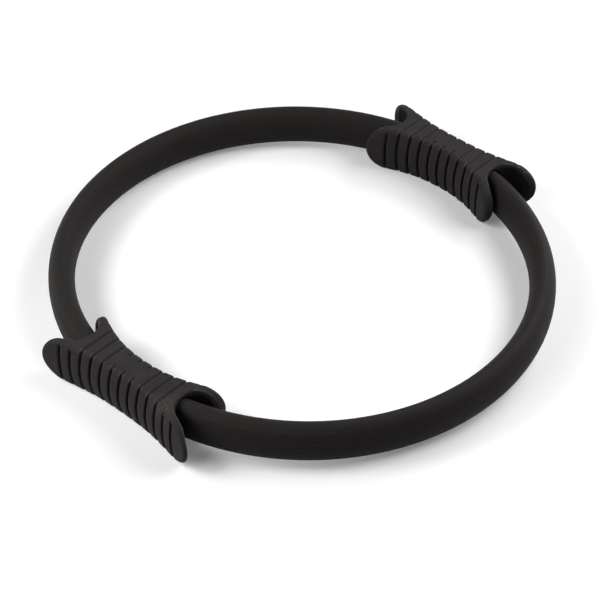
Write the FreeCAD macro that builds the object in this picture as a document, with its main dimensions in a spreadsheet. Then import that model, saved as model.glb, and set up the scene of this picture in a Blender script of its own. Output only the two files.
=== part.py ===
import FreeCAD, Part
import Sketcher
import math
import os

# Pilates ring: two sprung arms in soft tubes, joined inside two moulded double-sided grips.
# The ring lies flat: the grips face each other along Y, the arms bow out along X, and Z is up.

doc = FreeCAD.newDocument("pilates_ring")
sheet = doc.addObject("Spreadsheet::Sheet", "Sizes")

# Driving sizes, in millimetres and degrees
driving_sizes = {
    # arms
    "arm_radius": "164.7",  # bend of each arm, at the middle of its tube
    "arm_offset": "6.05",  # centre of each arm's bend, from the middle of the ring
    "tube_width": "18.5",
    "tube_height": "30.75",
    "spring_thickness": "2.4",
    "spring_height": "16",
    "spring_play": "0.3",  # round the two springs of an arm, and between them
    # grip, outside
    "grip_cover": "3.4",  # rubber over the top and under the bottom of the tube
    "outer_cover": "3.9",  # rubber outside the tube, at the waist
    "inner_cover": "6.2",  # rubber inside the tube, at the waist
    "outer_barrel": "4.8",  # swell of the outer face between its edges and mid-height
    "inner_barrel": "4.2",
    "outer_face_radius": "370",  # hollow of the outer face, seen from above
    "inner_face_radius": "120",
    # tongues and mouths at the grip's ends
    "tongue_reach": "67.8",  # from the grip's middle to the tip of an outer tongue
    "tongue_slant": "12.3",  # degrees by which the ends lean in towards the shorter inner tongues
    "tongue_round": "16.5",  # length of the rounded end of a tongue
    "tongue_wall": "4.2",
    "mouth_depth": "43",  # from the grip's middle to the bottom of the mouth
    "mouth_radius": "17.5",
    "mouth_setback": "4.2",  # mouth's middle, inside the middle of the tube
    # ribs of the grip
    "rib_pitch": "8.8",
    "rib_groove_width": "2.1",
    "rib_groove_depth": "1.7",
    "rib_wrap": "4",  # how far a short groove runs in over the top edge
    # joiner inside the grip
    "joiner_length": "52",
    "joiner_width": "14",
    "joiner_height": "24",
    "joiner_setback": "0.5",  # split between its halves, inside the middle of the tube
    "joiner_play": "0.2",
    "tube_gap": "0.3",  # between the joiner and the end of a tube
    "tube_play": "0.3",  # between a tube and the grip
    # fasteners of the joiner
    "bolt_diameter": "3",
    "bolt_head_diameter": "5.5",
    "bolt_head_height": "2",
    "bolt_key_width": "2.5",
    "bolt_key_depth": "1.2",
    "bolt_play": "0.3",
    "bolt_margin": "6",  # from the joiner's end to its nearest bolt
    "bolt_spacing": "8",
    "washer_diameter": "6.5",
    "washer_thickness": "0.5",
    "nut_width": "5.5",
    "nut_height": "2.4",
    "nut_play": "0.1",
    "overrun": "2",  # how far cutters pass the faces that they cut
}

# Sizes that follow from the driving ones
derived_sizes = {
    "mid_height": "=tube_height / 2 + grip_cover",
    "outer_reach": "=arm_radius + tube_width / 2 + outer_cover",
    "inner_reach": "=arm_radius - tube_width / 2 - inner_cover",
    "outer_barrel_radius": "=(mid_height ^ 2 + outer_barrel ^ 2) / (2 * outer_barrel)",
    "inner_barrel_radius": "=(mid_height ^ 2 + inner_barrel ^ 2) / (2 * inner_barrel)",
    "outer_face_axis": "=outer_reach + outer_face_radius",
    "inner_face_axis": "=inner_reach - inner_face_radius",
    "outer_edge": "=outer_reach - outer_barrel",
    "inner_edge": "=inner_reach + inner_barrel",
    "tongue_axis": "=tongue_reach - tongue_round / cos(tongue_slant)",
    "mouth_axis": "=mouth_depth + mouth_radius",
    "mouth_reach": "=arm_radius - mouth_setback",
    "spring_outside": "=arm_radius + spring_play / 2 + spring_thickness",
    "spring_inside": "=arm_radius - spring_play / 2 - spring_thickness",
    "outer_spring_inside": "=arm_radius + spring_play / 2",
    "inner_spring_outside": "=arm_radius - spring_play / 2",
    "slot_outside": "=spring_outside + spring_play",
    "slot_inside": "=spring_inside - spring_play",
    "joiner_end": "=joiner_length / 2",
    "tube_end": "=joiner_end + tube_gap",
    "split_reach": "=arm_radius - joiner_setback",
    "joiner_outside": "=split_reach + joiner_width / 2",
    "joiner_inside": "=split_reach - joiner_width / 2",
    "end_bolt": "=joiner_end - bolt_margin",
    "middle_bolt": "=end_bolt - bolt_spacing",
    "bolt_radius": "=bolt_diameter / 2",
    "bolt_hole_radius": "=bolt_radius + bolt_play",
    "head_seat": "=joiner_outside - bolt_head_height",
    "washer_seat": "=head_seat - washer_thickness",
    "nut_corner_radius": "=nut_width / (2 * cos(30))",
}

for row, (alias, text) in enumerate({**driving_sizes, **derived_sizes}.items(), 1):
    sheet.set(f"A{row}", alias)
    sheet.set(f"B{row}", text)
    sheet.setAlias(f"B{row}", alias)
doc.recompute()

# Places of the grooves, counted along the grip from its middle
lapping_grooves = (-1, 0, 1)  # on both faces, and a little way in over the top and bottom
crossing_grooves = (-4, -3, -2, 2, 3, 4)  # all round the grip
tongue_grooves = (-6, -5, 5, 6)  # on the faces of the tongues
outer_tongue_grooves = (-6, 6)  # on the longer tongues alone

along_y = FreeCAD.Rotation(FreeCAD.Vector(1, 0, 0), -90)  # turns Z to +Y
section_turn = FreeCAD.Rotation(FreeCAD.Vector(1, 1, 1), 240)  # turns X to Z and Y to X


def solid(kind, name, sizes, place=(), turn=FreeCAD.Rotation()):
    thing = doc.addObject(kind, name)
    thing.Placement = FreeCAD.Placement(FreeCAD.Vector(), turn)
    for path, expression in sizes.items():
        thing.setExpression(path, expression)
    for axis, expression in zip("xyz", place):
        thing.setExpression(f"Placement.Base.{axis}", expression)
    return thing


def box(name, x_span, y_span, z_span):
    sizes = {}
    for path, (low, high) in zip(("Length", "Width", "Height"), (x_span, y_span, z_span)):
        sizes[path] = f"({high}) - ({low})"
    return solid("Part::Box", name, sizes, [span[0] for span in (x_span, y_span, z_span)])


def cylinder(name, radius, height, place, turn=FreeCAD.Rotation()):
    return solid("Part::Cylinder", name, {"Radius": radius, "Height": height}, place, turn)


def cut(name, base, *tools):
    for number, tool in enumerate(tools, 1):
        result = doc.addObject("Part::Cut", f"{name}_cut{number}")
        result.Base = base
        result.Tool = tool
        base = result
    return base


def join(name, kind, shapes):
    result = doc.addObject(kind, name)
    if kind == "Part::Compound":
        result.Links = shapes
    else:
        result.Shapes = shapes
    return result


def mirrored(name, source, normal):
    result = doc.addObject("Part::Mirroring", name)
    result.Source = source
    result.Normal = normal
    return result


def around_arm(name, profile, angle):
    sweep = doc.addObject("Part::Revolution", name)
    sweep.Source = profile
    sweep.Axis = FreeCAD.Vector(0, 0, 1)
    sweep.Symmetric = True
    sweep.Solid = True
    sweep.setExpression("Angle", angle)
    sweep.setExpression("Placement.Base.x", "Sizes.arm_offset")
    return sweep


def tube_round(name, play):
    sizes = {
        "MajorRadius": f"Sizes.tube_height / 2 + {play}",
        "MinorRadius": f"Sizes.tube_width / 2 + {play}",
    }
    profile = solid("Part::Ellipse", f"{name}_section", sizes, ["Sizes.arm_radius"], section_turn)
    return around_arm(name, profile, "180 deg")


def spring_room(name):
    # Slot for the two springs of an arm, a little longer than they are
    sizes = {
        "Length": "Sizes.spring_height + 2 * Sizes.spring_play",
        "Width": "Sizes.slot_outside - Sizes.slot_inside",
    }
    place = ["Sizes.slot_inside", "0", "-Sizes.spring_height / 2 - Sizes.spring_play"]
    profile = solid("Part::Plane", f"{name}_section", sizes, place, section_turn)
    return around_arm(name, profile, "180 deg + 2 * asin(Sizes.spring_play / Sizes.arm_radius)")


def spring(name, inside, outside):
    body = doc.addObject("PartDesign::Body", name)
    planes = {plane.Role: plane for plane in body.Origin.OriginFeatures}
    outline = body.newObject("Sketcher::SketchObject", f"{name}_outline")
    outline.AttachmentSupport = (planes["XY_Plane"], "")
    outline.MapMode = "FlatFace"
    quarter = math.radians(90)
    upward = FreeCAD.Vector(0, 0, 1)
    for number, radius in enumerate((inside, outside)):
        circle = Part.Circle(FreeCAD.Vector(), upward, sheet.get(radius))
        outline.addGeometry(Part.ArcOfCircle(circle, -quarter, quarter))
        outline.addConstraint(Sketcher.Constraint("Coincident", number, 3, -1, 1))
        outline.addConstraint(Sketcher.Constraint("PointOnObject", number, 1, -2))
        outline.addConstraint(Sketcher.Constraint("PointOnObject", number, 2, -2))
        outline.addConstraint(Sketcher.Constraint("Radius", number, sheet.get(radius)))
        outline.renameConstraint(outline.ConstraintCount - 1, radius)
        outline.setExpression(f"Constraints.{radius}", f"Sizes.{radius}")
    for end in (1, 2):
        ends = [outline.getPoint(number, end) for number in (0, 1)]
        line = outline.addGeometry(Part.LineSegment(*ends))
        outline.addConstraint(Sketcher.Constraint("Coincident", line, 1, 0, end))
        outline.addConstraint(Sketcher.Constraint("Coincident", line, 2, 1, end))
    strip = body.newObject("PartDesign::Pad", f"{name}_strip")
    strip.Profile = outline
    strip.Midplane = True
    strip.setExpression("Length", "Sizes.spring_height")
    doc.recompute()

    drilling = body.newObject("Sketcher::SketchObject", f"{name}_drilling")
    drilling.AttachmentSupport = (planes["XZ_Plane"], "")
    drilling.MapMode = "FlatFace"
    for station in ("end_bolt", "middle_bolt"):
        centre = FreeCAD.Vector(sheet.get(station) - sheet.get("arm_offset"), 0, 0)
        hole = drilling.addGeometry(Part.Circle(centre, upward, sheet.get("bolt_hole_radius")))
        drilling.addConstraint(Sketcher.Constraint("PointOnObject", hole, 3, -1))
        drilling.addConstraint(Sketcher.Constraint("DistanceX", -1, 1, hole, 3, centre.x))
        drilling.renameConstraint(drilling.ConstraintCount - 1, station)
        drilling.setExpression(f"Constraints.{station}", f"Sizes.{station} - Sizes.arm_offset")
        drilling.addConstraint(Sketcher.Constraint("Radius", hole, sheet.get("bolt_hole_radius")))
        drilling.renameConstraint(drilling.ConstraintCount - 1, f"{station}_hole")
        drilling.setExpression(f"Constraints.{station}_hole", "Sizes.bolt_hole_radius")
    holes = body.newObject("PartDesign::Pocket", f"{name}_holes")
    holes.Profile = drilling
    holes.Type = "ThroughAll"
    holes.Midplane = True
    body.setExpression("Placement.Base.x", "Sizes.arm_offset")
    return body


def grip_form(name, inset, half_height):
    # Block between two faces that swell at mid-height and hollow along their length
    length = "Sizes.tongue_reach + Sizes.overrun"
    block = box(
        f"{name}_block",
        (f"-({length})", length),
        ("Sizes.inner_face_axis", "Sizes.inner_face_axis + Sizes.outer_reach"),
        (f"-({half_height})", half_height),
    )
    faces = []
    for side in ("outer", "inner"):
        sizes = {
            "Radius1": f"Sizes.{side}_face_radius + Sizes.{side}_barrel_radius",
            "Radius2": f"Sizes.{side}_barrel_radius - {inset}",
        }
        faces.append(solid("Part::Torus", f"{name}_{side}_face", sizes, ["0", f"Sizes.{side}_face_axis"]))
    return join(name, "Part::MultiCommon", [block, *faces])


def grip_mouth(name):
    # Opening between the tongues at the grip's right end
    height = "Sizes.mid_height + Sizes.overrun"
    hollow = grip_form(f"{name}_hollow", "Sizes.tongue_wall", height)
    bottom = cylinder(
        f"{name}_bottom",
        "Sizes.mouth_radius",
        f"2 * ({height})",
        ["Sizes.mouth_axis", "Sizes.mouth_reach", f"-({height})"],
    )
    beyond = box(
        f"{name}_beyond",
        ("Sizes.mouth_axis", "Sizes.mouth_axis + Sizes.tongue_reach"),
        ("Sizes.inner_face_axis", "Sizes.inner_face_axis + Sizes.outer_reach"),
        (f"-({height})", height),
    )
    opening = join(f"{name}_opening", "Part::MultiFuse", [bottom, beyond])
    return join(name, "Part::MultiCommon", [hollow, opening])


def tongue_end(name):
    # What is trimmed off the right end, so that the tongues end round, the inner one sooner
    height = "Sizes.mid_height + Sizes.overrun"
    waste = box(
        f"{name}_waste",
        ("0", "Sizes.tongue_reach"),
        ("-Sizes.tongue_reach", "Sizes.tongue_reach"),
        (f"-({height})", height),
    )
    sizes = {"MajorRadius": "Sizes.mid_height", "MinorRadius": "Sizes.tongue_round"}
    profile = solid("Part::Ellipse", f"{name}_profile", sizes, ["0", "-Sizes.tongue_reach"], section_turn)
    kept = doc.addObject("Part::Extrusion", f"{name}_kept")
    kept.Base = profile
    kept.Dir = FreeCAD.Vector(0, 1, 0)
    kept.DirMode = "Custom"
    kept.Solid = True
    kept.setExpression("LengthFwd", "2 * Sizes.tongue_reach")
    trim = cut(name, waste, kept)
    lean = FreeCAD.Rotation(FreeCAD.Vector(0, 0, -1), sheet.get("tongue_slant"))
    trim.Placement = FreeCAD.Placement(FreeCAD.Vector(), lean)
    trim.setExpression("Placement.Rotation.Angle", "Sizes.tongue_slant * 1 deg")
    trim.setExpression("Placement.Base.x", "Sizes.tongue_axis")
    trim.setExpression("Placement.Base.y", "Sizes.outer_reach")
    return trim


def groove_slabs(name, count, height):
    # Slabs across the form at one groove: across all of it, or from its two faces inwards
    outside = "Sizes.outer_reach + Sizes.tongue_reach"
    inside = "Sizes.inner_face_axis"
    middle = f"{count} * Sizes.rib_pitch"
    length = (f"{middle} - Sizes.rib_groove_width / 2", f"{middle} + Sizes.rib_groove_width / 2")
    if count in crossing_grooves:
        spans = [(inside, outside)]
    elif count in lapping_grooves:
        spans = [
            ("Sizes.outer_edge - Sizes.rib_wrap", outside),
            (inside, "Sizes.inner_edge + Sizes.rib_wrap"),
        ]
    elif count in outer_tongue_grooves:
        spans = [("Sizes.mouth_reach", outside)]
    else:
        spans = [("Sizes.mouth_reach", outside), (inside, "Sizes.mouth_reach")]
    return [box(f"{name}_slab", length, span, (f"-({height})", height)) for span in spans]


def rib_grooves(name, counts, core_half_height):
    # Grooves of one depth, down to a core that lies that far inside the form
    slabs = []
    for count in counts:
        slabs += groove_slabs(name, count, "Sizes.mid_height + Sizes.overrun")
    core = grip_form(f"{name}_core", "Sizes.rib_groove_depth", core_half_height)
    return cut(name, join(f"{name}_slabs", "Part::Compound", slabs), core)


def joiner_zone(end):
    # Stretch across the ring that the joiners take up, between the tubes' ends
    reach = "Sizes.outer_reach + Sizes.tongue_reach"
    height = "Sizes.mid_height + Sizes.overrun"
    return box(
        f"{end}_zone",
        (f"-Sizes.{end}", f"Sizes.{end}"),
        (f"-({reach})", reach),
        (f"-({height})", height),
    )


def grip(name):
    round_core = "Sizes.mid_height - Sizes.rib_groove_depth"
    open_core = "Sizes.mid_height + 2 * Sizes.overrun"  # leaves the top and bottom as they are
    cutters = [
        rib_grooves(f"{name}_ribs", lapping_grooves + crossing_grooves, round_core),
        rib_grooves(f"{name}_tongue_ribs", tongue_grooves, open_core),
    ]
    to_right = FreeCAD.Vector(1, 0, 0)
    tube_room = tube_round(f"{name}_tube_room", "Sizes.tube_play")
    tunnel = cut(f"{name}_tunnel", tube_room, joiner_zone("joiner_end"))
    for tool in (tongue_end(f"{name}_trim"), grip_mouth(f"{name}_mouth"), tunnel):
        cutters += [tool, mirrored(f"{tool.Name}_left", tool, to_right)]
    cutters.append(
        box(
            f"{name}_joiner_room",
            ("-Sizes.joiner_end - Sizes.joiner_play", "Sizes.joiner_end + Sizes.joiner_play"),
            ("Sizes.joiner_inside - Sizes.joiner_play", "Sizes.joiner_outside + Sizes.joiner_play"),
            ("-Sizes.joiner_height / 2 - Sizes.joiner_play", "Sizes.joiner_height / 2 + Sizes.joiner_play"),
        )
    )
    return cut(name, grip_form(f"{name}_form", "0", "Sizes.mid_height"), *cutters)


def tube(name):
    return cut(
        name,
        tube_round(f"{name}_round", "0"),
        spring_room(f"{name}_slot"),
        joiner_zone("tube_end"),
    )


def bolt_places():
    for station in ("end_bolt", "middle_bolt"):
        for side in ("", "-"):
            yield f"{side}Sizes.{station}"


def hexagon(name, corner_radius, height, place):
    prism = solid("Part::Prism", name, {"Circumradius": corner_radius, "Height": height}, place, along_y)
    prism.Polygon = 6
    return prism


def joiner_half(name, inside, outside, recess):
    block = box(
        f"{name}_block",
        ("-Sizes.joiner_end", "Sizes.joiner_end"),
        (inside, outside),
        ("-Sizes.joiner_height / 2", "Sizes.joiner_height / 2"),
    )
    slot = spring_room(f"{name}_slot")
    cutters = [slot, mirrored(f"{name}_slot_left", slot, FreeCAD.Vector(1, 0, 0))]
    depth = "Sizes.joiner_width + 2 * Sizes.overrun"
    for place in bolt_places():
        start = [place, "Sizes.joiner_inside - Sizes.overrun"]
        cutters.append(cylinder(f"{name}_hole", "Sizes.bolt_hole_radius", depth, start, along_y))
        cutters.append(recess(f"{name}_recess", place))
    return cut(name, block, *cutters)


def head_recess(name, place):
    radius = "Sizes.washer_diameter / 2 + Sizes.bolt_play"
    depth = "Sizes.joiner_outside - Sizes.washer_seat + Sizes.overrun"
    return cylinder(name, radius, depth, [place, "Sizes.washer_seat"], along_y)


def nut_recess(name, place):
    corner = "Sizes.nut_corner_radius + Sizes.nut_play"
    depth = "Sizes.nut_height + Sizes.overrun"
    return hexagon(name, corner, depth, [place, "Sizes.joiner_inside - Sizes.overrun"])


def bolts(name):
    pieces = []
    for place in bolt_places():
        shank = cylinder(
            f"{name}_shank",
            "Sizes.bolt_radius",
            "Sizes.head_seat - Sizes.joiner_inside",
            [place, "Sizes.joiner_inside"],
            along_y,
        )
        head = cylinder(
            f"{name}_head",
            "Sizes.bolt_head_diameter / 2",
            "Sizes.bolt_head_height",
            [place, "Sizes.head_seat"],
            along_y,
        )
        key = hexagon(
            f"{name}_key",
            "Sizes.bolt_key_width / (2 * cos(30))",
            "Sizes.bolt_key_depth + Sizes.overrun",
            [place, "Sizes.joiner_outside - Sizes.bolt_key_depth"],
        )
        pieces.append(cut(f"{name}_piece", join(f"{name}_whole", "Part::MultiFuse", [shank, head]), key))
    return join(name, "Part::Compound", pieces)


def washers(name):
    pieces = []
    for place in bolt_places():
        seat = [place, "Sizes.washer_seat"]
        depth = "Sizes.washer_thickness"
        plate = cylinder(f"{name}_plate", "Sizes.washer_diameter / 2", depth, seat, along_y)
        bore = cylinder(f"{name}_bore", "Sizes.bolt_hole_radius", depth, seat, along_y)
        pieces.append(cut(f"{name}_piece", plate, bore))
    return join(name, "Part::Compound", pieces)


def nuts(name):
    pieces = []
    for place in bolt_places():
        seat = [place, "Sizes.joiner_inside"]
        depth = "Sizes.nut_height"
        blank = hexagon(f"{name}_blank", "Sizes.nut_corner_radius", depth, seat)
        bore = cylinder(f"{name}_bore", "Sizes.bolt_radius + Sizes.nut_play", depth, seat, along_y)
        pieces.append(cut(f"{name}_piece", blank, bore))
    return join(name, "Part::Compound", pieces)


right_pieces = {
    "tube": tube("right_tube"),
    "outer_spring": spring("right_outer_spring", "outer_spring_inside", "spring_outside"),
    "inner_spring": spring("right_inner_spring", "spring_inside", "inner_spring_outside"),
}
far_pieces = {
    "grip": grip("far_grip"),
    "joiner_outer": joiner_half(
        "far_joiner_outer", "Sizes.split_reach", "Sizes.joiner_outside", head_recess
    ),
    "joiner_inner": joiner_half(
        "far_joiner_inner", "Sizes.joiner_inside", "Sizes.split_reach", nut_recess
    ),
    "bolts": bolts("far_bolts"),
    "washers": washers("far_washers"),
    "nuts": nuts("far_nuts"),
}

nodes = {}
for pieces, side, other_side, normal in (
    (right_pieces, "right", "left", FreeCAD.Vector(1, 0, 0)),
    (far_pieces, "far", "near", FreeCAD.Vector(0, 1, 0)),
):
    for piece, source in pieces.items():
        source.setExpression("Placement.Base.z", "Sizes.mid_height")
        nodes[f"{side}_{piece}"] = source
        nodes[f"{other_side}_{piece}"] = mirrored(f"{other_side}_{piece}", source, normal)
for node, source in nodes.items():
    source.Label = node
doc.recompute()

for thing in doc.Objects:
    if "Invalid" in thing.State or "Error" in thing.State:
        raise RuntimeError(f"{thing.Label} failed: {thing.State}")
for node, source in nodes.items():
    if source.Shape.isNull() or not source.Shape.isValid():
        raise RuntimeError(f"{node} has no valid shape")

os.makedirs("parts", exist_ok=True)
for node, source in nodes.items():
    source.Shape.exportStep(f"parts/{node}.step")
    print(node, len(source.Shape.Solids), "solids", round(source.Shape.Volume), "mm3")
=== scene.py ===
import math

import bpy
import numpy as np
from mathutils import Matrix, Vector


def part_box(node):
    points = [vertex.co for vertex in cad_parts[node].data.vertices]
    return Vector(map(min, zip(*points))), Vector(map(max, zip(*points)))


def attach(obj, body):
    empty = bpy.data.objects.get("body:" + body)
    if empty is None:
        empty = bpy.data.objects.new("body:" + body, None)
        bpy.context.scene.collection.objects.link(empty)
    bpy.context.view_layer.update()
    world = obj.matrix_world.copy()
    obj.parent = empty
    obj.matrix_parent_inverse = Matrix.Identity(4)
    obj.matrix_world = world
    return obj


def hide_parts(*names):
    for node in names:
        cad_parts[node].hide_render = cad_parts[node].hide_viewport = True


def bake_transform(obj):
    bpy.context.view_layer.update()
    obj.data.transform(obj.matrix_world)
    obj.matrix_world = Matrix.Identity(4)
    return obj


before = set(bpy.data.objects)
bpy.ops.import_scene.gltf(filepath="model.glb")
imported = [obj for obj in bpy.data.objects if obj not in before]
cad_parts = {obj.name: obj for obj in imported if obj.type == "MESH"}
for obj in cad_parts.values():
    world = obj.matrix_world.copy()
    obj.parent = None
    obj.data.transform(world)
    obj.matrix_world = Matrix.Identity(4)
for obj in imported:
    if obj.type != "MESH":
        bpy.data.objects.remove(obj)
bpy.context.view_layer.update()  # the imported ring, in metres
mm = 0.001
print("frame loaded with", len(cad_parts), "nodes")


# Shared helpers

def addMesh(name, points, faces):
    mesh = bpy.data.meshes.new(name)
    mesh.from_pydata(np.asarray(points).tolist(), [], faces)
    mesh.validate()
    mesh.shade_smooth()
    piece = bpy.data.objects.new(name, mesh)
    bpy.context.scene.collection.objects.link(piece)
    return piece


def fillSockets(tree, node, values):
    for name, value in values.items():
        if isinstance(value, bpy.types.NodeSocket):
            tree.links.new(value, node.inputs[name])
        else:
            node.inputs[name].default_value = value
    return node


def addNode(tree, kind, settings=None, values=None):
    node = tree.nodes.new(kind)
    for name, value in (settings or {}).items():
        setattr(node, name, value)
    return fillSockets(tree, node, values or {})


def addMath(tree, operation, first, second):
    node = addNode(tree, "ShaderNodeMath", {"operation": operation}, {0: first, 1: second})
    return node.outputs["Value"]


def addColorMix(tree, share, first, second):
    node = addNode(tree, "ShaderNodeMix", {"data_type": "RGBA"}, {0: share, 6: first, 7: second})
    return node.outputs[2]


def addNoise(tree, place, scale, detail, rough=0.5):
    node = addNode(tree, "ShaderNodeTexNoise", values={
        "Vector": place, "Scale": scale, "Detail": detail, "Roughness": rough,
    })
    return node.outputs["Fac"]


def addRange(tree, value, start, end, low=0.0, high=1.0, ease="LINEAR"):
    # low at the start of the range and high at its end
    node = addNode(tree, "ShaderNodeMapRange", {"interpolation_type": ease}, {
        "Value": value, "From Min": start, "From Max": end, "To Min": low, "To Max": high,
    })
    return node.outputs["Result"]


def addPlace(tree):
    return addNode(tree, "ShaderNodeTexCoord").outputs["Object"]


def newGroup(name, inputs, outputs):
    # inputs and outputs give the name and kind of each socket
    tree = bpy.data.node_groups.new(name, "ShaderNodeTree")
    for way, sockets in (("INPUT", inputs), ("OUTPUT", outputs)):
        for socket, kind in sockets.items():
            tree.interface.new_socket(socket, in_out=way, socket_type=f"NodeSocket{kind}")
    return tree, tree.nodes.new("NodeGroupInput").outputs, tree.nodes.new("NodeGroupOutput").inputs


def placeGroup(tree, group, values):
    return fillSockets(tree, addNode(tree, "ShaderNodeGroup", {"node_tree": group}), values)


def newFinish(name, shaderValues):
    material = bpy.data.materials.new(name)
    material.use_nodes = True
    tree = material.node_tree
    tree.nodes.clear()
    shader = addNode(tree, "ShaderNodeBsdfPrincipled", values=shaderValues)
    out = tree.nodes.new("ShaderNodeOutputMaterial")
    tree.links.new(shader.outputs["BSDF"], out.inputs["Surface"])
    return material, tree, shader


def addTone(tree, shader, place, look):
    # cloudy colour and roughness from one look dictionary
    tone = placeGroup(tree, mottle, {
        "Vector": place, "Scale": look["cloudScale"], "Dark": look["dark"], "Light": look["light"],
        "Rough low": look["roughLow"], "Rough high": look["roughHigh"],
    })
    tree.links.new(tone.outputs["Color"], shader.inputs["Base Color"])
    tree.links.new(tone.outputs["Roughness"], shader.inputs["Roughness"])
    return tone.outputs["Color"]


def addBump(tree, shader, height, strength, distance):
    bump = addNode(tree, "ShaderNodeBump", values={
        "Strength": strength, "Distance": distance, "Height": height,
    })
    tree.links.new(bump.outputs["Normal"], shader.inputs["Normal"])


# Shared effects

mottleNoise = {
    "detail": 5.0,
    "rough": 0.6,
    "toneSpan": (0.32, 0.68),  # noise that gives the dark tone and the light one
    "roughSpan": (0.3, 0.7),
}
grainNoise = {
    "pitDetail": 3.0,
    "waveDetail": 2.0,
}
streakNoise = {
    "detail": 3.0,
    "rough": 0.65,
}


def makeMottle():
    # cloudy change of tone and roughness over a surface
    tree, source, out = newGroup(
        "mottle",
        {
            "Vector": "Vector",
            "Scale": "Float",
            "Dark": "Color",
            "Light": "Color",
            "Rough low": "Float",
            "Rough high": "Float",
        },
        {"Color": "Color", "Roughness": "Float"},
    )
    look = mottleNoise
    cloud = addNoise(tree, source["Vector"], source["Scale"], look["detail"], look["rough"])
    spread = addRange(tree, cloud, *look["toneSpan"])
    rough = addRange(tree, cloud, *look["roughSpan"], source["Rough low"], source["Rough high"])
    tree.links.new(addColorMix(tree, spread, source["Dark"], source["Light"]), out["Color"])
    tree.links.new(rough, out["Roughness"])
    return tree


def makeGrain():
    # fine pitted skin that a mould leaves
    tree, source, out = newGroup(
        "grain",
        {"Vector": "Vector", "Pit scale": "Float", "Wave scale": "Float", "Wave share": "Float"},
        {"Height": "Float"},
    )
    pits = addNoise(tree, source["Vector"], source["Pit scale"], grainNoise["pitDetail"])
    waves = addNoise(tree, source["Vector"], source["Wave scale"], grainNoise["waveDetail"])
    both = addNode(tree, "ShaderNodeMix", {"data_type": "FLOAT"}, {
        0: source["Wave share"], 2: pits, 3: waves,
    })
    tree.links.new(both.outputs[0], out["Height"])
    return tree


def makeStreaks():
    # fine lines along a drawn or extruded piece, from its run and girth
    tree, source, out = newGroup(
        "streaks",
        {"Vector": "Vector", "Line scale": "Float", "Run share": "Float"},
        {"Height": "Float"},
    )
    stretch = addNode(tree, "ShaderNodeCombineXYZ", values={"X": source["Run share"], "Y": 1.0, "Z": 1.0})
    along = addNode(tree, "ShaderNodeVectorMath", {"operation": "MULTIPLY"}, {
        0: source["Vector"], 1: stretch.outputs["Vector"],
    })
    look = streakNoise
    lines = addNoise(tree, along.outputs["Vector"], source["Line scale"], look["detail"], look["rough"])
    tree.links.new(lines, out["Height"])
    return tree


mottle = makeMottle()
grain = makeGrain()
streaks = makeStreaks()
print("shared effects made")


# Finishes

gripFinish = {
    "dark": (0.0200, 0.0175, 0.0181, 1),
    "light": (0.0295, 0.0261, 0.0270, 1),
    "roughLow": 0.62,
    "roughHigh": 0.76,
    "specular": 0.08,
    "cloudScale": 70.0,
    "pitScale": 1800.0,
    "waveScale": 320.0,
    "waveShare": 0.45,
    "bumpStrength": 0.6,
    "grainDepth": 0.05 * mm,
    # painted shade, dark in the grooves and deep in the mouths
    "creaseShade": (0.0030, 0.0024, 0.0024, 1),
    "creaseShadeSpan": (-0.25, -1.0),  # relief where the painted shade starts and is full
    # painted highlight along crests and rims, partly rubbed wear
    "crestHighlightAndWear": (0.1250, 0.1150, 0.1180, 1),
    "crestHighlightAndWearSpan": (0.45, 1.0),
    "rubAndHighlightScale": 260.0,  # patches where the crests carry the painted highlight and rubbed wear
    "rubAndHighlightDetail": 3.0,
    "paleSpeck": (0.0640, 0.0525, 0.0440, 1),
    "paleSpeckPlace": (41.5 * mm, -175 * mm, 37 * mm),  # shoulder of the near grip
    "paleSpeckReach": 16 * mm,
    "paleSpeckScale": 620.0,
    "paleSpeckDetail": 4.0,
    "paleSpeckRough": 0.7,
    "paleSpeckSpan": (0.38, 0.66),  # noise below which there is no speck and above which the speck is full
}
tubeFinish = {
    "dark": (0.0124, 0.0105, 0.0102, 1),
    "light": (0.0170, 0.0147, 0.0144, 1),
    "roughLow": 0.60,
    "roughHigh": 0.72,
    "specular": 0.08,
    "cloudScale": 45.0,
    "lineScale": 640.0,
    "runShare": 0.003,
    "bumpStrength": 0.8,
    "lineDepth": 0.35 * mm,
    "ridge": (0.0207, 0.0180, 0.0175, 1),
    "ridgeSpan": (0.5, 0.72),  # heights where the ridge's tone starts and is full
}
springFinish = {
    "dark": (0.42, 0.37, 0.25, 1),
    "light": (0.58, 0.53, 0.38, 1),
    "roughLow": 0.32,
    "roughHigh": 0.45,
    "specular": 0.5,
    "cloudScale": 40.0,
    "lineScale": 2400.0,
    "runShare": 0.002,
    "bumpStrength": 0.5,
    "lineDepth": 0.04 * mm,
    "ridge": (0.66, 0.61, 0.46, 1),
    "ridgeSpan": (0.5, 0.72),
}
joinerFinish = {
    "dark": (0.055, 0.055, 0.06, 1),
    "light": (0.085, 0.085, 0.09, 1),
    "roughLow": 0.38,
    "roughHigh": 0.5,
    "specular": 0.5,
    "cloudScale": 120.0,
    "pitScale": 2600.0,
    "waveScale": 500.0,
    "waveShare": 0.3,
    "bumpStrength": 0.4,
    "grainDepth": 0.03 * mm,
}
steelFinish = {
    "dark": (0.50, 0.51, 0.53, 1),
    "light": (0.68, 0.68, 0.67, 1),
    "roughLow": 0.22,
    "roughHigh": 0.36,
    "specular": 0.5,
    "cloudScale": 900.0,
    "pitScale": 6000.0,
    "waveScale": 1500.0,
    "waveShare": 0.5,
    "bumpStrength": 0.3,
    "grainDepth": 0.01 * mm,
}


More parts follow.
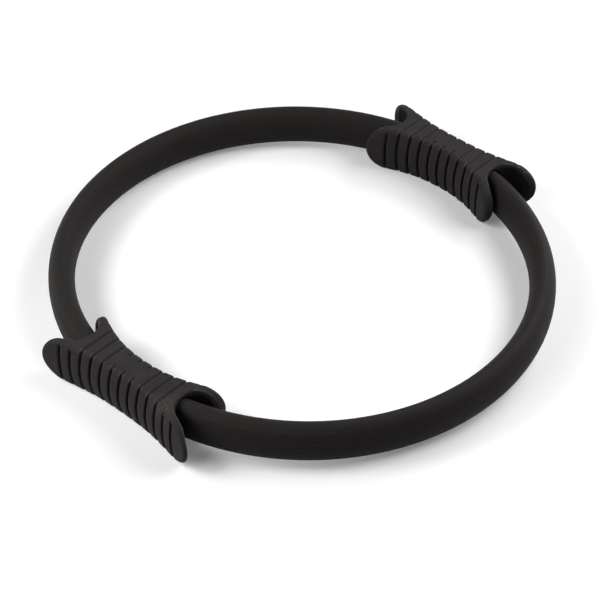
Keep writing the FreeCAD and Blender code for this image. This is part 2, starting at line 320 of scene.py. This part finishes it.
def addRelief(tree, place, tone, look):
    # painted shade in grooves and mouths, and a painted highlight with rubbed wear on crests, from the
    # relief that is stored on the mesh
    relief = addNode(tree, "ShaderNodeAttribute", {"attribute_name": "relief"}).outputs["Fac"]
    sunk = addRange(tree, relief, *look["creaseShadeSpan"])
    raised = addRange(tree, relief, *look["crestHighlightAndWearSpan"])
    rubAndHighlightPatches = addNoise(tree, place, look["rubAndHighlightScale"], look["rubAndHighlightDetail"])
    # painted shade in the grooves and mouths
    tone = addColorMix(tree, sunk, tone, look["creaseShade"])
    # painted highlight, partly rubbed wear, on the crests in patches
    return addColorMix(tree, addMath(tree, "MULTIPLY", raised, rubAndHighlightPatches), tone, look["crestHighlightAndWear"])


def addPaleSpecks(tree, place, tone, look):
    # pale speckled patch on one shoulder
    away = addNode(tree, "ShaderNodeVectorMath", {"operation": "DISTANCE"}, {
        0: place, 1: look["paleSpeckPlace"],
    })
    patch = addRange(tree, away.outputs["Value"], look["paleSpeckReach"], 0.0, ease="SMOOTHSTEP")
    specks = addNoise(tree, place, look["paleSpeckScale"], look["paleSpeckDetail"], look["paleSpeckRough"])
    speckShare = addRange(tree, specks, *look["paleSpeckSpan"])
    return addColorMix(tree, addMath(tree, "MULTIPLY", patch, speckShare), tone, look["paleSpeck"])


def makeMoulded(name, look, metallic=0.0):
    # moulded or plated skin with fine pits
    material, tree, shader = newFinish(name, {"Specular IOR Level": look["specular"], "Metallic": metallic})
    place = addPlace(tree)
    tone = addTone(tree, shader, place, look)
    skin = placeGroup(tree, grain, {
        "Vector": place, "Pit scale": look["pitScale"], "Wave scale": look["waveScale"],
        "Wave share": look["waveShare"],
    })
    addBump(tree, shader, skin.outputs["Height"], look["bumpStrength"], look["grainDepth"])
    # grips only: painted shade in grooves and mouths, a painted highlight with rubbed wear on crests, and
    # pale specks
    if "creaseShade" in look:
        tone = addPaleSpecks(tree, place, addRelief(tree, place, tone, look), look)
        tree.links.new(tone, shader.inputs["Base Color"])
    return material


def makeDrawn(name, look):
    # extruded or pultruded skin with fine lines along its run
    material, tree, shader = newFinish(name, {"Specular IOR Level": look["specular"]})
    tone = addTone(tree, shader, addPlace(tree), look)
    lay = addNode(tree, "ShaderNodeUVMap", {"uv_map": "lay"}).outputs["UV"]
    lines = placeGroup(tree, streaks, {
        "Vector": lay, "Line scale": look["lineScale"], "Run share": look["runShare"],
    })
    height = lines.outputs["Height"]
    addBump(tree, shader, height, look["bumpStrength"], look["lineDepth"])
    raised = addRange(tree, height, *look["ridgeSpan"])
    tree.links.new(addColorMix(tree, raised, tone, look["ridge"]), shader.inputs["Base Color"])
    return material


gripRubber = makeMoulded("gripRubber", gripFinish)
tubeRubber = makeDrawn("tubeRubber", tubeFinish)
springComposite = makeDrawn("springComposite", springFinish)
joinerNylon = makeMoulded("joinerNylon", joinerFinish)
fastenerSteel = makeMoulded("fastenerSteel", steelFinish, metallic=1.0)
print("finishes made")


# Arms: tubes and springs swept round each bend, with the frame's right arm as the measure for both

tubeLow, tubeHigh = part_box("right_tube")
midHeight = (tubeLow.z + tubeHigh.z) / 2
# centre of the bend, whose outside touches the tube's box and ends at its corner
bendOffset = (tubeHigh.x ** 2 - tubeLow.x ** 2 - tubeHigh.y ** 2) / (2 * (tubeHigh.x - tubeLow.x))
tubeReach = tubeHigh.x - bendOffset  # radius of the bend along the tube's outside
tubeHeight = tubeHigh.z - tubeLow.z

armLook = {
    "tubeWidth": 18.5 * mm,
    "springThickness": 2.4 * mm,
    "springCorner": 0.4 * mm,
    "cornerPoints": 5,
    "springPlay": 0.3 * mm,  # round the two springs in a tube's slot, and between them
    "springTurn": math.radians(89.6),  # each way from the middle of the arm
    "springSteps": 180,
    "endInset": 0.4 * mm,  # keeps a swept end inside the end that was cut square
    "tubeSteps": 260,
    "girthSteps": 88,  # a multiple of 8, which puts points at the slot's corners
    "blendReach": 138 * mm,
}
bendRadius = tubeReach - armLook["tubeWidth"] / 2


def unitCircle(steps):
    turn = np.arange(steps) / steps * 2 * math.pi - math.pi / 2  # starts at the underside
    return np.stack([np.cos(turn), np.sin(turn)], 1)


def ellipseSection(width, height, steps):
    return unitCircle(steps) * [width / 2, height / 2]


def slotSection(width, height, steps):
    # bore with square corners, point for point with an ellipse of as many steps
    return np.clip(math.sqrt(2) * unitCircle(steps), -1, 1) * [width / 2, height / 2]


def stripSection(width, height, corner):
    points = []
    for sideways, upward, start in ((1, -1, -90), (1, 1, 0), (-1, 1, 90), (-1, -1, 180)):
        for turn in np.radians(np.linspace(start, start + 90, armLook["cornerPoints"])):
            points.append([
                sideways * (width / 2 - corner) + corner * math.cos(turn),
                upward * (height / 2 - corner) + corner * math.sin(turn),
            ])
    return np.array(points)


def bendLoop(side, loop, radius, turns):
    # copies of a loop along the bend of an arm
    bend = radius + loop[:, 0]
    return np.stack([
        side * (bendOffset + np.cos(turns)[:, None] * bend),
        np.sin(turns)[:, None] * bend,
        np.broadcast_to(midHeight + loop[:, 1], (len(turns), len(loop))),
    ], -1).reshape(-1, 3)


def sweepArm(name, side, loops, radius, reach, steps):
    # side is 1 for the right arm and -1 for the left, reach is the turn each way from the middle,
    # and a second loop is a bore
    turns = np.linspace(-reach, reach, steps + 1)
    ring = len(loops[0])
    wallSize = ring * len(turns)
    points = np.concatenate([bendLoop(side, loop, radius, turns) for loop in loops])
    row, column = [place.reshape(-1, 1) for place in np.mgrid[:steps, :ring]]
    run = row + np.array([[1, 1, 0, 0]])
    girth = column + np.array([[0, 1, 1, 0]])
    faces, lay = [], []  # lay holds the run and the girth over the skin, in metres
    for count, loop in enumerate(loops):
        facing = -1 if count else 1  # a bore faces the other way
        around = np.append(0, np.cumsum(np.linalg.norm(np.roll(loop, -1, 0) - loop, axis=1)))
        faces.append((run * ring + girth % ring + count * wallSize)[:, ::facing])
        lay.append(np.stack([turns[run] * radius, around[girth]], -1)[:, ::facing])
    edge = np.arange(ring)
    cap = edge[None]
    if len(loops) > 1:
        after = np.roll(edge, -1)
        cap = np.stack([edge, after, after + wallSize, edge + wallSize], 1)
    caps = np.concatenate([cap, (cap + steps * ring)[:, ::-1]])
    faces.append(caps)
    lay.append(np.concatenate(loops)[caps // wallSize * ring + caps % ring])
    piece = addMesh(name, points, [face for block in faces for face in block[:, ::side].tolist()])
    layer = piece.data.uv_layers.new(name="lay")
    spread = np.concatenate([block[:, ::side].reshape(-1, 2) for block in lay])
    layer.data.foreach_set("uv", spread.astype(np.float32).ravel())
    for face in piece.data.polygons[-len(caps):]:
        face.use_smooth = False
    return piece


def dressTube(side, sideName):
    low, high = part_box("right_outer_spring")
    play = armLook["springPlay"]
    slotSize = (2 * armLook["springThickness"] + 3 * play, high.z - low.z + 2 * play)
    steps = armLook["girthSteps"]
    loops = [ellipseSection(armLook["tubeWidth"], tubeHeight, steps), slotSection(*slotSize, steps)]
    inside = bendRadius - armLook["tubeWidth"] / 2
    reach = math.acos((tubeLow.x + armLook["endInset"] - bendOffset) / inside)
    piece = sweepArm(f"{sideName}_tube_skin", side, loops, bendRadius, reach, armLook["tubeSteps"])
    return piece


def dressSpring(side, sideName, place):
    low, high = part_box(f"right_{place}_spring")
    thickness = armLook["springThickness"]
    section = stripSection(thickness, high.z - low.z, armLook["springCorner"])
    radius = high.x - bendOffset - thickness / 2
    name = f"{sideName}_{place}_spring_skin"
    return sweepArm(name, side, [section], radius, armLook["springTurn"], armLook["springSteps"])


def finishArm(piece, node, finish):
    piece.data.materials.append(finish)
    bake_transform(piece)
    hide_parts(node)


for side, sideName in ((1, "right"), (-1, "left")):
    finishArm(dressTube(side, sideName), f"{sideName}_tube", tubeRubber)
    for place in ("outer", "inner"):
        spring = dressSpring(side, sideName, place)
        finishArm(spring, f"{sideName}_{place}_spring", springComposite)
print("arms dressed")


# Grips: one rubber moulding each, as the zero surface of a distance field

gripLow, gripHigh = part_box("far_grip")
joinerLow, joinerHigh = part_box("far_joiner_outer")
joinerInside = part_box("far_joiner_inner")[0].y

gripSize = {
    "outerCover": 3.9 * mm,  # rubber over the tube at the waist
    "innerCover": 6.2 * mm,
    "outerBarrel": 4.8 * mm,  # swell of a face at mid-height
    "innerBarrel": 4.2 * mm,
    "barrelFrom": 18 * mm,  # from here out to the tips the swell shrinks
    "barrelTo": 62 * mm,
    "tipBarrelShare": 0.4,
    "outerFaceRadius": 370 * mm,
    "innerFaceRadius": 120 * mm,
    "edgeRound": 2.0 * mm,
    "tipRound": 3.4 * mm,  # edges round off more towards the tips
    "tongueReach": 67.8 * mm,
    "tongueSlant": math.radians(12.3),
    "tongueRound": 16.5 * mm,
    "rootWall": 4.8 * mm,  # tongue at the bottom of the mouth
    "tipWall": 3.6 * mm,
    "mouthDepth": 43 * mm,
    "mouthRadius": 17.5 * mm,
    "mouthSetback": 4.2 * mm,
    "mouthCorner": 4 * mm,
    "tongueLip": 1.7 * mm,  # rounding of the rim, on the tongues and at the bottom of the mouth
    "mouthLip": 1.6 * mm,
    "tubePlay": 0.3 * mm,
    "tunnelRound": 1.6 * mm,
    "joinerPlay": 0.2 * mm,
    "ribPitch": 8.8 * mm,
    "grooveWidth": 1.8 * mm,
    "grooveDepth": 2.0 * mm,
    "topGrooveDepth": 0.9 * mm,
    "grooveRound": 0.5 * mm,
    "ribRound": 1.15 * mm,
    "ribWrap": 4.0 * mm,
    "tongueRibInset": 0.8 * mm,  # tongue grooves stop this far short of the edge
    "grooveTaper": 6 * mm,  # and get shallower over this length
    "lappingGrooves": 1,  # last groove, counted from the middle, that only laps over the edge
    "crossingGrooves": 4,
    "pairedGrooves": 5,  # last one on both tongues
    "outerGrooves": 6,
    "crestRound": 0.8 * mm,  # an edge rounded by this much is a full crest
    "mouthShade": (2.2 * mm, 4.4 * mm),  # depths in a mouth where its painted shade starts and is full
}
skinGrid = {
    "step": 0.6 * mm,
    "marginSteps": 2,  # beyond the grip's box
    "nudgeShare": 0.05,  # of a step, to each side of a point whose slope is taken
    "leastSlope": 0.05,  # squared, for points where the field is nearly level
    "passes": 4,  # that move the points on to the surface
}
outerReach = tubeReach + gripSize["outerCover"]
innerReach = bendRadius - armLook["tubeWidth"] / 2 - gripSize["innerCover"]
mouthReach = bendRadius - gripSize["mouthSetback"]


def roundedMax(a, b, radius):
    # what two fields share, with a rounded edge where they meet
    corner = np.hypot(np.maximum(a + radius, 0), np.maximum(b + radius, 0))
    return np.minimum(np.maximum(a, b), -radius) + corner


def ellipseField(across, up, halfAcross, halfUp):
    # near its rim this is the distance from an ellipse
    scaled = np.hypot(across / halfAcross, up / halfUp)
    slope = np.hypot(across / halfAcross ** 2, up / halfUp ** 2)
    leastSlope = 1e-9  # the middle has none
    return scaled * (scaled - 1) / np.maximum(slope, leastSlope)


def easeBetween(place, start, end):
    # 0 before start and 1 after end
    far = np.clip((place - start) / (end - start), 0, 1)
    return far ** 2 * (3 - 2 * far)


def faceField(x, y, z, outward, reach, faceRadius, barrel):
    # face that swells by its barrel at mid-height and hollows along its length
    g = gripSize
    share = 1 - (1 - g["tipBarrelShare"]) * easeBetween(x, g["barrelFrom"], g["barrelTo"])
    barrelRadius = (midHeight ** 2 + barrel ** 2) / (2 * barrel)
    along = np.sqrt(faceRadius ** 2 - x ** 2)
    upright = np.sqrt(barrelRadius ** 2 - z ** 2)
    face = reach + outward * (faceRadius - along - share * (barrelRadius - upright))
    return outward * (y - face) / np.sqrt(1 + (x / along) ** 2 + (share * z / upright) ** 2)


def cutGrooves(x, y, z, form):
    g = gripSize
    count = np.rint(x / g["ribPitch"])
    beside = np.abs(x - count * g["ribPitch"]) - g["grooveWidth"] / 2
    onTop = easeBetween(np.abs(z), midHeight - g["ribWrap"], midHeight)
    depth = g["grooveDepth"] + (g["topGrooveDepth"] - g["grooveDepth"]) * onTop
    tongue = np.abs(z) - midHeight + g["tongueRibInset"]
    taper = easeBetween(-tongue, 0, g["grooveTaper"])
    depth = depth * np.where(count > g["crossingGrooves"], taper, 1)
    groove = roundedMax(beside, -(form + depth), g["grooveRound"])
    lap = np.minimum(
        outerReach - g["outerBarrel"] - g["ribWrap"] - y,
        y - innerReach - g["innerBarrel"] - g["ribWrap"],
    )
    kinds = ("lappingGrooves", "crossingGrooves", "pairedGrooves", "outerGrooves")
    limit = np.select(
        [count <= g[kind] for kind in kinds],
        [lap, -g["ribPitch"], tongue, np.maximum(tongue, mouthReach - y)],
        g["ribPitch"],
    )
    groove = roundedMax(groove, limit, g["grooveRound"])
    return roundedMax(form, -groove, g["ribRound"])


def cutMouth(x, y, field, hollow):
    # opening between the tongues, widest at their tips
    g = gripSize
    outwards = x - g["mouthDepth"] - g["mouthRadius"]
    aside = np.abs(y - mouthReach)
    opening = np.hypot(np.minimum(outwards, 0), aside) - g["mouthRadius"] - np.maximum(outwards, 0)
    mouth = roundedMax(hollow, opening, g["mouthCorner"])
    middle = np.clip(1 - aside / g["mouthRadius"], 0, 1)
    lip = g["tongueLip"] + (g["mouthLip"] - g["tongueLip"]) * middle
    return roundedMax(field, -mouth, lip)


def gripForm(x, y, z):
    # the faces, and the whole form before its grooves, mouths and tunnel are cut
    g = gripSize
    outer = faceField(x, y, z, 1, outerReach, g["outerFaceRadius"], g["outerBarrel"])
    inner = faceField(x, y, z, -1, innerReach, g["innerFaceRadius"], g["innerBarrel"])
    faces = np.maximum(outer, inner)

    # ends that round off towards the tips, the inner tongue sooner
    lean = g["tongueSlant"]
    tongueAxis = g["tongueReach"] - g["tongueRound"] / math.cos(lean)
    endwise = (x - tongueAxis) * math.cos(lean) - (y - outerReach) * math.sin(lean)
    end = ellipseField(np.maximum(endwise, 0), z, g["tongueRound"], midHeight)
    tipward = easeBetween(x, g["barrelFrom"], g["barrelTo"])
    edge = g["edgeRound"] + (g["tipRound"] - g["edgeRound"]) * tipward
    return faces, roundedMax(faces, end, edge)


def gripField(x, y, z):
    g = gripSize
    x = np.abs(x)
    z = z - midHeight
    faces, form = gripForm(x, y, z)
    field = cutGrooves(x, y, z, form)
    tipward = easeBetween(x, g["mouthDepth"], g["tongueReach"])
    wall = g["rootWall"] + (g["tipWall"] - g["rootWall"]) * tipward
    field = cutMouth(x, y, field, faces + wall)

    # room for the tubes and for the joiner between them
    fromBend = np.hypot(x - bendOffset, y) - bendRadius
    halfWidth = armLook["tubeWidth"] / 2 + g["tubePlay"]
    tunnel = ellipseField(fromBend, z, halfWidth, tubeHeight / 2 + g["tubePlay"])
    joiner = np.maximum(x - joinerHigh.x, np.abs(z) - (joinerHigh.z - joinerLow.z) / 2)
    joiner = np.maximum(joiner, np.maximum(joinerInside - y, y - joinerHigh.y)) - g["joinerPlay"]
    return roundedMax(field, -np.minimum(tunnel, joiner), g["tunnelRound"])


def slopeOf(field, points, step):
    slopes = np.zeros_like(points)
    for axis in range(3):
        move = np.zeros(3)
        move[axis] = step
        slopes[:, axis] = field(*(points + move).T) - field(*(points - move).T)
    return slopes / (2 * step)


def skinOf(field, low, high):
    # closed skin of quads on the zero surface: one point in each grid cell that the surface crosses
    step = skinGrid["step"]
    axes = [np.arange(a, b + step, step) for a, b in zip(low, high)]
    values = field(*np.meshgrid(*axes, indexing="ij"))
    shape = np.array(values.shape)
    crossings, quads = [], []
    for axis in range(3):
        ahead = np.roll(values, -1, axis)
        places = np.argwhere((values < 0) != (ahead < 0))
        places = places[((places > 0) & (places < shape - 2)).all(1)]
        here, there = values[tuple(places.T)], ahead[tuple(places.T)]
        points = np.array(low) + places * step
        points[:, axis] += step * here / (here - there)
        first, second = [other for other in range(3) if other != axis]
        corners = []
        for backFirst, backSecond in ((0, 0), (1, 0), (1, 1), (0, 1)):
            cells = places.copy()
            cells[:, first] -= backFirst
            cells[:, second] -= backSecond
            corners.append(np.ravel_multi_index(cells.T, shape))
        quad = np.stack(corners, 1)
        turned = (here < 0) == (axis == 1)
        quad[turned] = quad[turned][:, ::-1]
        quads.append(quad)
        crossings.append(np.repeat(points, len(corners), 0))
    order = np.unique(np.concatenate(quads), return_inverse=True)[1].ravel()
    crossings = np.concatenate(crossings)
    total = np.bincount(order)
    skin = np.stack([np.bincount(order, crossings[:, k]) / total for k in range(3)], 1)
    nudge = skinGrid["nudgeShare"] * step
    for _ in range(skinGrid["passes"]):
        slope = slopeOf(field, skin, nudge)
        steepness = np.maximum((slope ** 2).sum(1), skinGrid["leastSlope"])
        skin -= (field(*skin.T) / steepness)[:, None] * slope
    slope = slopeOf(field, skin, nudge)
    return skin, order.reshape(-1, len(corners)), slope / np.linalg.norm(slope, axis=1)[:, None]


def reliefOf(points):
    # up to 1 on crests, down to -1 in grooves and mouths
    g = gripSize
    step = skinGrid["step"]
    reach = step * np.concatenate([np.eye(3), -np.eye(3)])
    around = sum(gripField(*(points + move).T) for move in reach)
    bend = (around - len(reach) * gripField(*points.T)) / step ** 2
    x, y, z = np.abs(points[:, 0]), points[:, 1], points[:, 2] - midHeight
    form = gripForm(x, y, z)[1]
    grooved = np.clip((cutGrooves(x, y, z, form) - form) / g["grooveDepth"], 0, 1)
    # the sunk share drives the painted shade, and the bend drives the painted highlight with wear on crests
    sunk = np.maximum(grooved, easeBetween(-form, *g["mouthShade"]))
    return np.clip(bend * g["crestRound"], 0, 1) * (1 - sunk) - sunk


def dressGrips():
    margin = Vector((1, 1, 1)) * skinGrid["marginSteps"] * skinGrid["step"]
    skin, quads, normals = skinOf(gripField, gripLow - margin, gripHigh + margin)
    relief = reliefOf(skin)
    for sideName, flip in (("far", 1), ("near", -1)):
        piece = addMesh(f"{sideName}_grip_skin", skin * [1, flip, 1], quads[:, ::flip].tolist())
        piece.data.normals_split_custom_set_from_vertices((normals * [1, flip, 1]).tolist())
        # relief drives the grips' painted shade and painted highlight
        layer = piece.data.attributes.new("relief", "FLOAT", "POINT")
        layer.data.foreach_set("value", relief.astype(np.float32))
        piece.data.materials.append(gripRubber)
        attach(piece, f"{sideName}_side")
        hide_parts(f"{sideName}_grip")
    print("grips dressed with", len(quads), "faces each")


dressGrips()


# Pieces inside the grips keep their own solids

innerFinishes = {
    "joiner": joinerNylon,
    "bolts": fastenerSteel,
    "washers": fastenerSteel,
    "nuts": fastenerSteel,
}
for node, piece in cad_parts.items():
    for word, finish in innerFinishes.items():
        if word in node:
            piece.data.materials.clear()
            piece.data.materials.append(finish)
print("inner pieces finished")


# Studio

white = (1, 1, 1, 1)
floorLook = {
    "dark": (0.92, 0.92, 0.92, 1),
    "light": (0.93, 0.93, 0.93, 1),
    "roughLow": 0.85,
    "roughHigh": 0.95,
    "cloudScale": 3.0,
    "size": 12.0,
    "bounce": (0.28, 0.28, 0.28, 1),  # what the floor sends back to the ring
    "lift": (0.15, 1.0),  # brings the lit floor up to white for the camera, near the ring and far from it
    "fade": (0.24, 0.52),  # distances from the middle of the ring between which the lift grows
}
worldLook = {
    "light": 0.02,  # faint, from all round
    "back": 1.0,  # plain white that the camera sees
}
openBox = {"aim": (0, 0, 0), "spread": 180}
softboxes = {  # the left one has a grid, which keeps its light on the near grip
    "leftSoftbox": {
        "aim": (-0.05, -0.12, 0.02), "spread": 62,
        "place": (-0.42, -0.52, 0.55), "size": 0.45, "power": 0.67,
    },
    "rightSoftbox": {**openBox, "place": (0.56, 0.48, 0.80), "size": 0.7, "power": 6.1},
    "farSoftbox": {**openBox, "place": (0.10, 0.85, 0.55), "size": 0.6, "power": 5.0},
    "nearSoftbox": {**openBox, "place": (-0.10, -0.85, 0.65), "size": 0.6, "power": 3.5},
}


def addSeenRays(tree):
    # 1 where the camera sees the surface, straight or in a reflection
    rays = tree.nodes.new("ShaderNodeLightPath")
    seen = addMath(tree, "MAXIMUM", rays.outputs["Is Camera Ray"], rays.outputs["Is Glossy Ray"])
    return addMath(tree, "MAXIMUM", seen, rays.outputs["Is Transmission Ray"])


def makeFloor():
    half = floorLook["size"] / 2
    corners = [(-half, -half, 0), (half, -half, 0), (half, half, 0), (-half, half, 0)]
    piece = addMesh("floor", corners, [(0, 1, 2, 3)])
    material, tree, shader = newFinish("floorPaper", {"Specular IOR Level": 0.0, "Emission Color": white})
    place = addPlace(tree)
    paper = addTone(tree, shader, place, floorLook)
    seen = addSeenRays(tree)
    tree.links.new(addColorMix(tree, seen, floorLook["bounce"], paper), shader.inputs["Base Color"])
    away = addNode(tree, "ShaderNodeVectorMath", {"operation": "LENGTH"}, {0: place})
    fade, lift = floorLook["fade"], floorLook["lift"]
    glow = addRange(tree, away.outputs["Value"], *fade, *lift, ease="SMOOTHSTEP")
    tree.links.new(addMath(tree, "MULTIPLY", seen, glow), shader.inputs["Emission Strength"])
    piece.data.materials.append(material)


def makeWorld():
    world = bpy.data.worlds.new("studio")
    world.use_nodes = True
    tree = world.node_tree
    tree.nodes.clear()
    room = addNode(tree, "ShaderNodeBackground", values={"Color": white, "Strength": worldLook["light"]})
    back = addNode(tree, "ShaderNodeBackground", values={"Color": white, "Strength": worldLook["back"]})
    mix = tree.nodes.new("ShaderNodeMixShader")
    tree.links.new(addSeenRays(tree), mix.inputs[0])
    tree.links.new(room.outputs["Background"], mix.inputs[1])
    tree.links.new(back.outputs["Background"], mix.inputs[2])
    out = tree.nodes.new("ShaderNodeOutputWorld")
    tree.links.new(mix.outputs["Shader"], out.inputs["Surface"])
    bpy.context.scene.world = world


def addSoftbox(name, box):
    data = bpy.data.lights.new(name, "AREA")
    data.shape = "DISK"
    data.size = box["size"]
    data.spread = math.radians(box["spread"])
    data.energy = box["power"]
    lamp = bpy.data.objects.new(name, data)
    bpy.context.scene.collection.objects.link(lamp)
    lamp.location = box["place"]
    lamp.rotation_mode = "QUATERNION"
    lamp.rotation_quaternion = (Vector(box["aim"]) - lamp.location).to_track_quat("-Z", "Y")


cameraView = {
    "turn": math.radians(42.618),
    "rise": math.radians(42.091),
    "distance": 1302.74 * mm,
    "aimRight": -1.1 * mm,
    "aimUp": -23.22 * mm,
    "lens": 110.635,
    "sensor": 36.0,
}


def addCamera():
    v = cameraView
    right = Vector((math.cos(v["turn"]), math.sin(v["turn"]), 0))
    back = Vector((math.sin(v["turn"]), -math.cos(v["turn"]), 0)) * math.cos(v["rise"])
    back.z = math.sin(v["rise"])
    up = back.cross(right)
    data = bpy.data.cameras.new("photoView")
    data.lens = v["lens"]
    data.sensor_width = v["sensor"]
    camera = bpy.data.objects.new("photoView", data)
    bpy.context.scene.collection.objects.link(camera)
    eye = Vector((0, 0, midHeight)) + back * v["distance"] + right * v["aimRight"] + up * v["aimUp"]
    camera.matrix_world = Matrix.Translation(eye) @ Matrix((right, up, back)).transposed().to_4x4()
    bpy.context.scene.camera = camera


makeFloor()
makeWorld()
for name, box in softboxes.items():
    addSoftbox(name, box)
addCamera()
bpy.context.scene.view_settings.view_transform = "Standard"
print("studio set")
